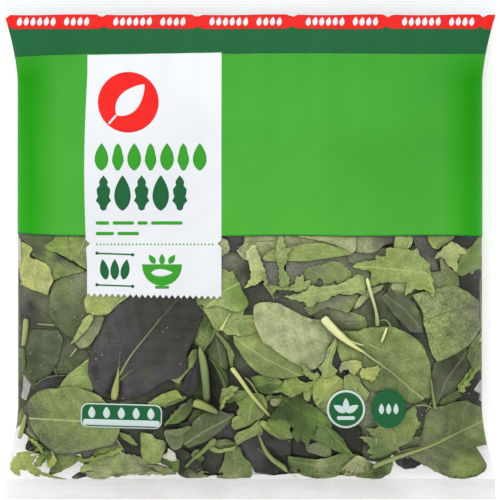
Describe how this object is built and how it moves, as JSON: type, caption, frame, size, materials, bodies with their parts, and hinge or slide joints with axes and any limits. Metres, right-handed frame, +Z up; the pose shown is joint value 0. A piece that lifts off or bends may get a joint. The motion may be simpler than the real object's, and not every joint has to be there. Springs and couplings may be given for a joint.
{
  "type": "bag of salad leaves",
  "caption": "Sealed pillow bag of mixed salad leaves lying flat, with a clear window and plain printed bands.",
  "frame": {"origin": "on the table under the middle of the bag, which lies on its back", "axes": "+Z up, out of the printed front; +Y towards the header seal; +X to the right of the printed front"},
  "size_m": [0.3, 0.305, 0.0738],
  "materials": {
    "bag": "glossy film over leaves",
    "clear_film": "clear, slightly hazy film",
    "green_film": "satin printed film",
    "dark_green_film": "satin printed film",
    "red_film": "satin printed film",
    "white_film": "satin printed film",
    "green_leaf": "satin fresh leaf",
    "red_leaf": "satin fresh leaf",
    "stalk": "moist stalk"
  },
  "bodies": {
    "root": {"bag": "bag"}
  },
  "joints": []
}
